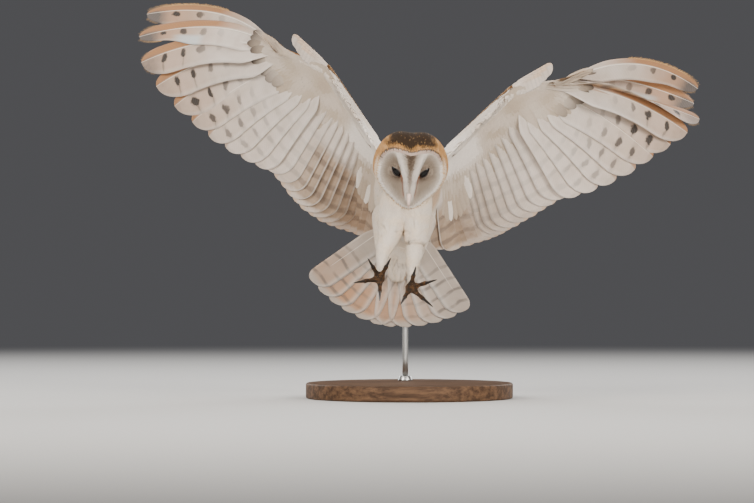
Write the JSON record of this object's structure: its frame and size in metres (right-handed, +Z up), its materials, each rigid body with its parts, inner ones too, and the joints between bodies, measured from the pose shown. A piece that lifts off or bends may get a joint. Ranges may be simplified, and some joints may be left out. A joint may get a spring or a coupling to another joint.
{
  "type": "barn owl model on a display stand",
  "caption": "Life-size still model of a barn owl coming in to land, wings raised and spread, held by a rod on a round base.",
  "frame": {"origin": "centre of the round base's underside", "axes": "+Z up, the bird faces -Y, +X along the wingspan to the bird's left"},
  "size_m": [0.6724, 0.3663, 0.4609],
  "materials": {
    "white_plumage": "soft white feathers, matt",
    "golden_plumage": "golden-buff feathers veiled with grey, matt",
    "flight_feathers": "barred flight feathers, pale below and golden above, matt",
    "foot_skin": "scaly bare skin, brown",
    "claw": "dark polished horn",
    "bill": "pale pinkish horn",
    "eye": "black, wet gloss",
    "stand_wood": "dark stained wood, satin lacquer",
    "stand_steel": "brushed steel"
  },
  "bodies": {
    "root": {"head": "golden_plumage", "eye_left": "eye", "eye_right": "eye", "bill": "bill", "neck": "golden_plumage", "trunk": "white_plumage", "undertail": "white_plumage", "tail": "flight_feathers", "wing_left_upper_arm": "white_plumage", "wing_left_forearm": "white_plumage", "wing_left_hand": "white_plumage", "wing_left_fold": "white_plumage", "wing_left_alula": "flight_feathers", "wing_left_primaries": "flight_feathers", "wing_left_secondaries": "flight_feathers", "wing_left_tertials": "golden_plumage", "wing_right_upper_arm": "white_plumage", "wing_right_forearm": "white_plumage", "wing_right_hand": "white_plumage", "wing_right_fold": "white_plumage", "wing_right_alula": "flight_feathers", "wing_right_primaries": "flight_feathers", "wing_right_secondaries": "flight_feathers", "wing_right_tertials": "golden_plumage", "leg_left_thigh": "white_plumage", "leg_left_shank": "white_plumage", "leg_left_foot": "foot_skin", "leg_left_toe_1": "foot_skin", "leg_left_claw_1": "claw", "leg_left_toe_2": "foot_skin", "leg_left_claw_2": "claw", "leg_left_toe_3": "foot_skin", "leg_left_claw_3": "claw", "leg_left_toe_4": "foot_skin", "leg_left_claw_4": "claw", "leg_right_thigh": "white_plumage", "leg_right_shank": "white_plumage", "leg_right_foot": "foot_skin", "leg_right_toe_1": "foot_skin", "leg_right_claw_1": "claw", "leg_right_toe_2": "foot_skin", "leg_right_claw_2": "claw", "leg_right_toe_3": "foot_skin", "leg_right_claw_3": "claw", "leg_right_toe_4": "foot_skin", "leg_right_claw_4": "claw", "stand_rod": "stand_steel", "stand_collar": "stand_steel", "stand_base": "stand_wood"}
  },
  "joints": []
}
